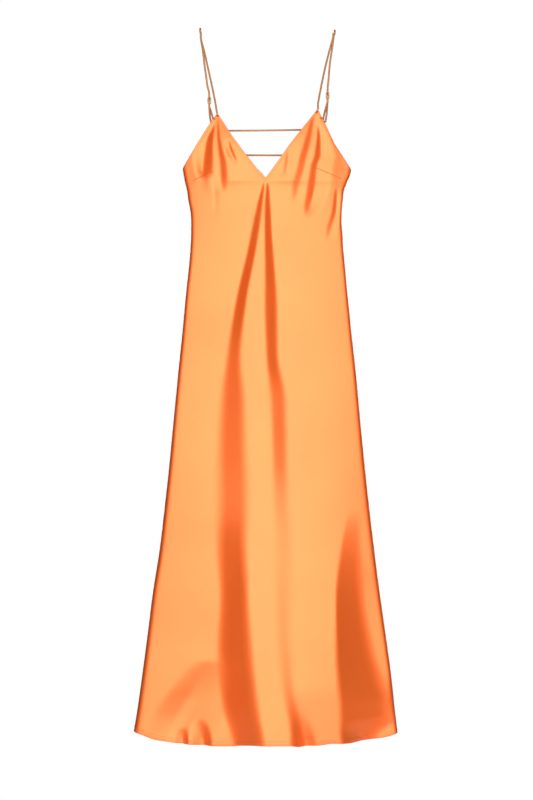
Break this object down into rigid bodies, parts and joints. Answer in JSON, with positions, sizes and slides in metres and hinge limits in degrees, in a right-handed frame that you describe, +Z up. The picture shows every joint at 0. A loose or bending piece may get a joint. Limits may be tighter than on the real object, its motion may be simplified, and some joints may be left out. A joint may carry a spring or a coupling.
{
  "type": "backless maxi dress",
  "caption": "Long A-line dress in satin with thin adjustable straps, V neck, soft cups and an open back crossed by strings, hanging empty from its straps.",
  "frame": {"origin": "midway between the tops of the two shoulder straps, where the dress is held", "axes": "+Z up, the front of the dress faces -Y, +X to the viewer's right"},
  "size_m": [0.5325, 0.2011, 1.445],
  "materials": {
    "satin": "orange satin with a soft metallic sheen",
    "satin_cord": "rouleau cord in the same satin",
    "metal": "dark antique gold"
  },
  "bodies": {
    "root": {"front_panel": "satin", "back_panel": "satin", "strap_left": "satin_cord", "strap_right": "satin_cord", "slider_left": "metal", "slider_right": "metal", "ring_left": "metal", "ring_right": "metal", "ring_loop_left": "satin_cord", "ring_loop_right": "satin_cord", "back_string_upper": "satin_cord", "back_string_lower": "satin_cord"}
  },
  "joints": []
}
